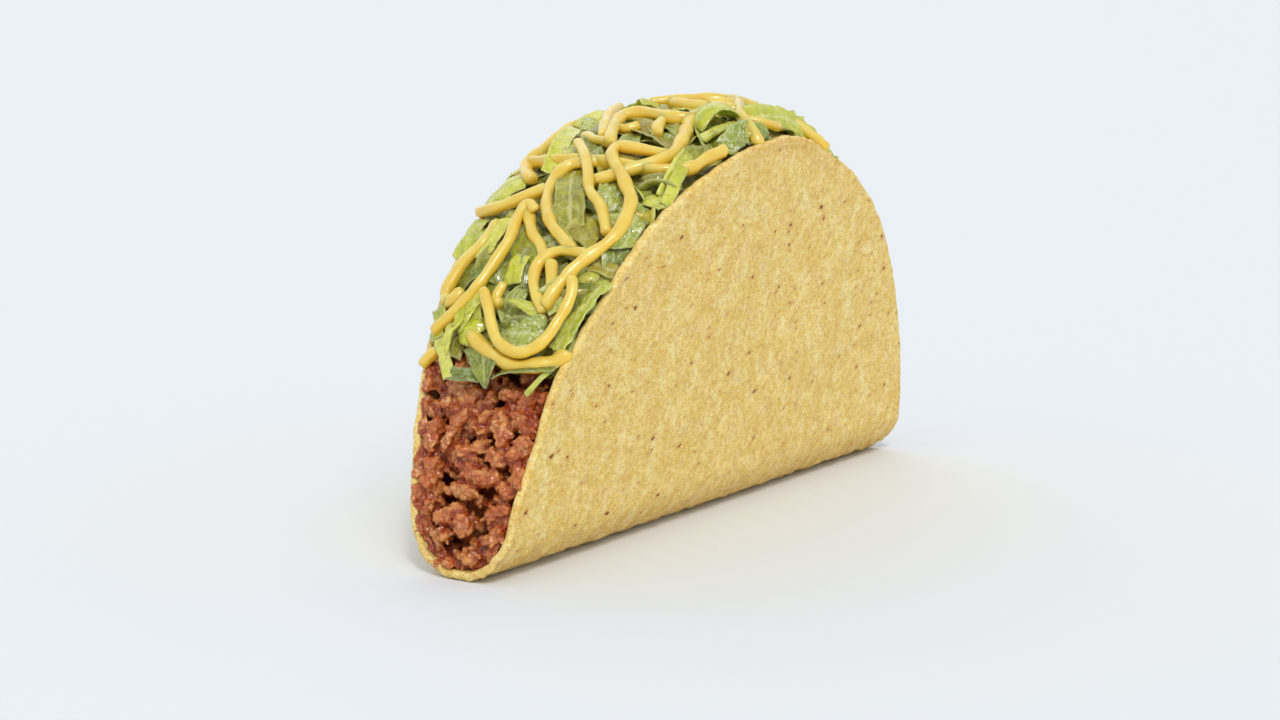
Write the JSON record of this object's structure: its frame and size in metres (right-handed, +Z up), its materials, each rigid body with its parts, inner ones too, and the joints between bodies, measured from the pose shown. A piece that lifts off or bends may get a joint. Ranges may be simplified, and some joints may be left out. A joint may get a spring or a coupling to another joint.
{
  "type": "taco",
  "caption": "Crunchy taco: a U-shaped fried corn shell standing on its fold, filled with ground beef, shredded lettuce and shredded cheese.",
  "frame": {"origin": "on the resting plane, under the middle of the fold", "axes": "+X along the fold, +Y across the mouth from one wall to the other, +Z up"},
  "size_m": [0.1398, 0.0426, 0.0799],
  "materials": {
    "shell": "dry fried corn tortilla, straw yellow, grainy and blistered, with small brown flecks",
    "beef": "seasoned ground beef, reddish brown crumbs, wet with an orange sauce",
    "lettuce": "crisp shredded lettuce, from pale ribs to leaf green, moist and slightly see-through",
    "cheese": "shredded cheddar, smooth warm yellow with a slight sheen"
  },
  "bodies": {
    "root": {"shell": "shell", "beef": "beef", "lettuce": "lettuce", "cheese": "cheese"}
  },
  "joints": []
}
